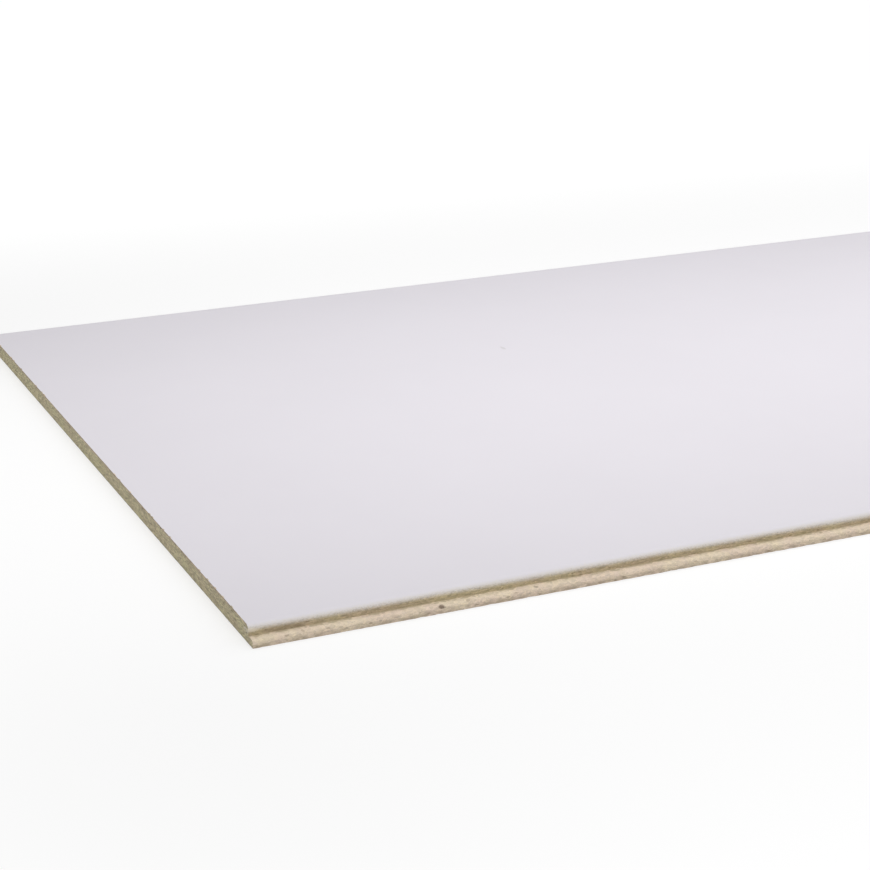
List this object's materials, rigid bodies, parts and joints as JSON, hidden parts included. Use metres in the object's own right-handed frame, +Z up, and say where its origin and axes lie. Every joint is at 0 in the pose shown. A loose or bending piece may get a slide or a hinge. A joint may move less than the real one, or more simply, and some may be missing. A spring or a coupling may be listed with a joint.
{
  "type": "wall panel",
  "caption": "Long flat chipboard wall panel, painted on its face, with a lip along one long edge and a matching rebate under the other.",
  "frame": {"origin": "bottom centre of the panel, on the floor, under the middle of its box", "axes": "+X along the length, +Y across towards the rebated edge, +Z up out of the painted face"},
  "size_m": [2.39, 0.62, 0.011],
  "materials": {
    "chipboard": "painted face, raw milled edges"
  },
  "bodies": {
    "root": {"wall_panel": "chipboard"}
  },
  "joints": []
}
